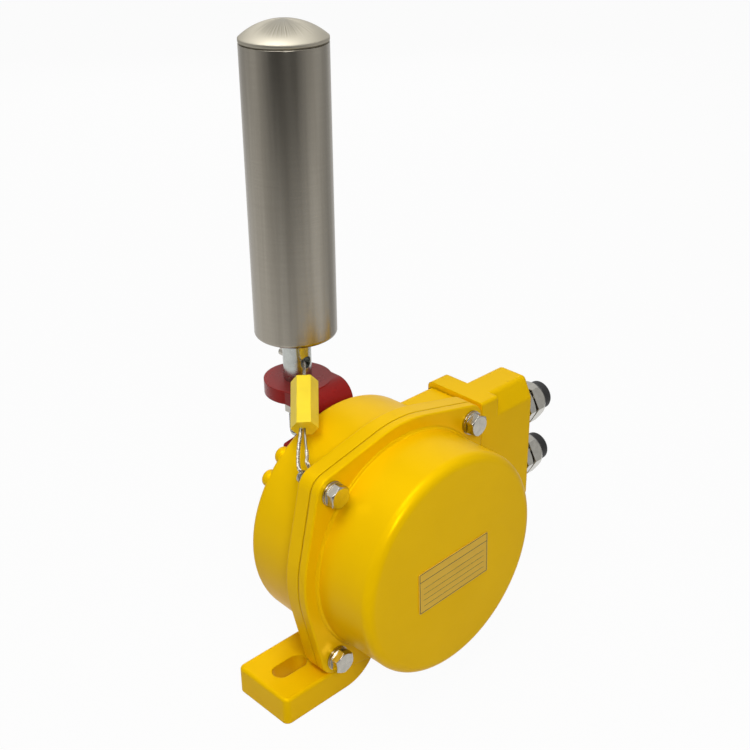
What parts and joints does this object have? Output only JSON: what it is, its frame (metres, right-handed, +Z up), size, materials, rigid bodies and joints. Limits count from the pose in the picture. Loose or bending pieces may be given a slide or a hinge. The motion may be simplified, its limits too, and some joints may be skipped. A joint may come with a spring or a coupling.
{
  "type": "belt misalignment switch",
  "caption": "Belt misalignment switch with a round housing on a slotted foot, a red bent lever that carries an upright steel roller, a side cable box with glands, and a wire seal.",
  "frame": {"origin": "on the ground under the foot, midway between the two foot slots", "axes": "+Z up along the roller, +X along the foot towards the cable glands, -Y out of the round front cover; the roller lever is on the +Y side and swings about a line parallel to Y"},
  "size_m": [0.1888, 0.1259, 0.2984],
  "materials": {
    "yellow_paint": "gloss",
    "red_paint": "gloss",
    "black_rubber": "matte",
    "zinc_steel": "satin",
    "plate": "satin",
    "nickel_brass": "polished nickel",
    "bronze": "plain",
    "plain_steel": "ground",
    "dark_plastic": "matte",
    "stainless": "brushed",
    "white_plastic": "matte",
    "seal_plastic": "gloss",
    "seal_cable": "braided"
  },
  "bodies": {
    "housing": {"body_shell": "yellow_paint", "front_cover": "yellow_paint", "cover_gasket": "black_rubber", "cover_bolts": "zinc_steel", "cover_spring_washers": "zinc_steel", "cover_flat_washers": "zinc_steel", "name_plate": "plate", "terminal_box": "yellow_paint", "terminal_box_gasket": "black_rubber", "terminal_box_screws": "zinc_steel", "upper_gland_body": "nickel_brass", "upper_gland_nut": "nickel_brass", "upper_gland_rubber": "black_rubber", "lower_gland_body": "nickel_brass", "lower_gland_nut": "nickel_brass", "lower_gland_rubber": "black_rubber", "front_shaft_bush": "bronze", "rear_shaft_bush": "bronze", "shaft_lip_seal": "black_rubber", "alarm_sensor": "dark_plastic", "stop_sensor": "dark_plastic", "sensor_screws": "zinc_steel", "sensor_spacers": "dark_plastic", "sensor_bracket": "plain_steel", "bracket_screws": "zinc_steel", "anchor_pin": "plain_steel", "stop_pins": "plain_steel", "terminal_block": "dark_plastic", "terminal_screws": "zinc_steel", "earth_screw": "zinc_steel", "return_spring": "plain_steel", "seal_body": "seal_plastic", "seal_loop": "seal_cable", "seal_strand": "seal_cable"},
    "lever": {"lever_arm": "red_paint", "lever_washer": "zinc_steel", "lever_nut": "zinc_steel", "main_shaft": "plain_steel", "alarm_cam": "plain_steel", "stop_cam": "plain_steel", "cam_set_screws": "zinc_steel", "return_driver": "plain_steel", "driver_pin": "plain_steel", "roller_rod": "zinc_steel", "rod_circlip": "plain_steel", "rod_spring_washer": "zinc_steel", "rod_nut": "zinc_steel", "bearing_inner_rings": "plain_steel", "seal_ferrule": "seal_cable"},
    "roller": {"roller_tube": "stainless", "roller_lower_cap": "white_plastic", "roller_dome": "stainless", "bearing_outer_rings": "plain_steel"}
  },
  "joints": [
    {"name": "lever_swing", "type": "hinge", "parent": "housing", "child": "lever", "pos_m": [0, 0.03, 0.0675], "axis": [0, 1, 0], "range_deg": [-60, 60], "stiffness_Nm_per_rad": 4, "deforming": ["return_spring", "seal_strand"]},
    {"name": "roller_spin", "type": "hinge", "parent": "lever", "child": "roller", "pos_m": [0, 0.055, 0.22], "axis": [0, 0, 1], "continuous": true}
  ]
}
